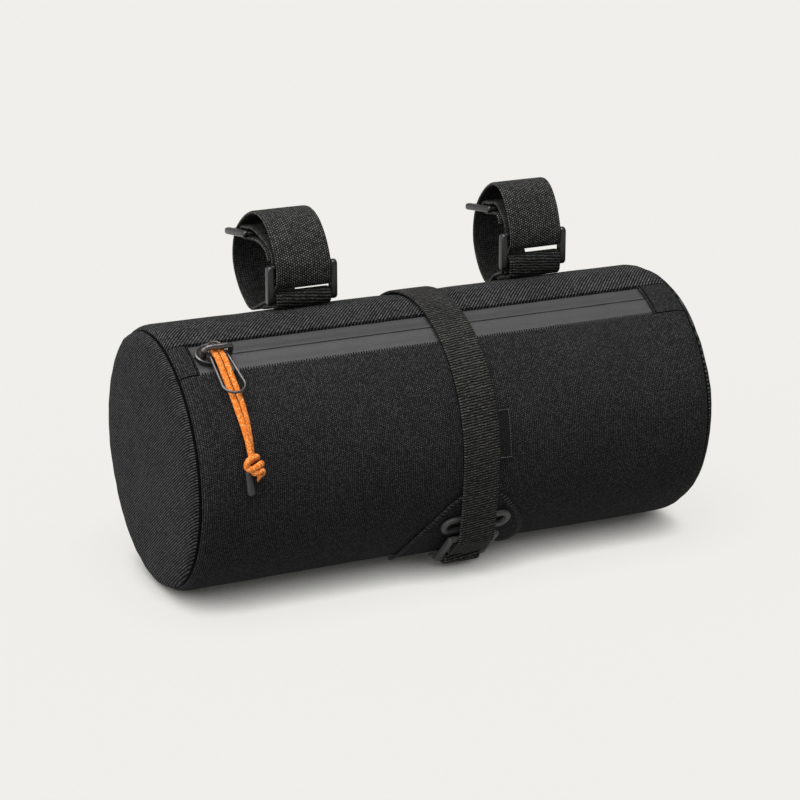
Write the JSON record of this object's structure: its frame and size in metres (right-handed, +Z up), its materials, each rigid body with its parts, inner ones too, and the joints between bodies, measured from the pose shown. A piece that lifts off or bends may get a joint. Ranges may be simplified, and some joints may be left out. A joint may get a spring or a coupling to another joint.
{
  "type": "bicycle handlebar bag",
  "caption": "Cloth barrel bag with puffed end discs, a coated zipper with a cord pull, webbing loops for a handlebar and a middle compression strap.",
  "frame": {"origin": "on the floor under the middle of the bag, the pull cord left out", "axes": "+X along the barrel towards the end without the slider, -Y the front with the middle strap's lock, +Z up"},
  "size_m": [0.294, 0.1431, 0.1818],
  "materials": {
    "cloth": "woven, dark, matt",
    "webbing": "ribbed webbing, matt",
    "coated_tape": "smooth coated zipper tape, satin",
    "plastic": "moulded, satin",
    "dark_metal": "dark plated, glossy",
    "orange_cord": "braided cord",
    "sleeve": "shrunk sleeve, satin"
  },
  "bodies": {
    "root": {"top_panel": "cloth", "front_panel": "cloth", "end_cap_left": "cloth", "end_cap_right": "cloth", "zipper_tape_upper": "coated_tape", "zipper_tape_lower": "coated_tape", "zipper_garage_left": "cloth", "zipper_garage_right": "cloth", "slider_body": "dark_metal", "pull_tab": "dark_metal", "pull_cord_left": "orange_cord", "pull_cord_right": "orange_cord", "cord_bight": "orange_cord", "cord_knot": "orange_cord", "cord_tip": "sleeve", "centre_strap": "webbing", "ladder_lock": "plastic", "lock_anchor": "webbing", "lash_ring": "plastic", "base_patch": "cloth", "label_tab": "webbing", "handlebar_strap_left": "webbing", "handlebar_strap_right": "webbing", "strap_buckle_left": "plastic", "strap_buckle_right": "plastic", "strap_anchor_left": "webbing", "strap_anchor_right": "webbing", "strap_keeper_left": "plastic", "strap_keeper_right": "plastic"}
  },
  "joints": []
}
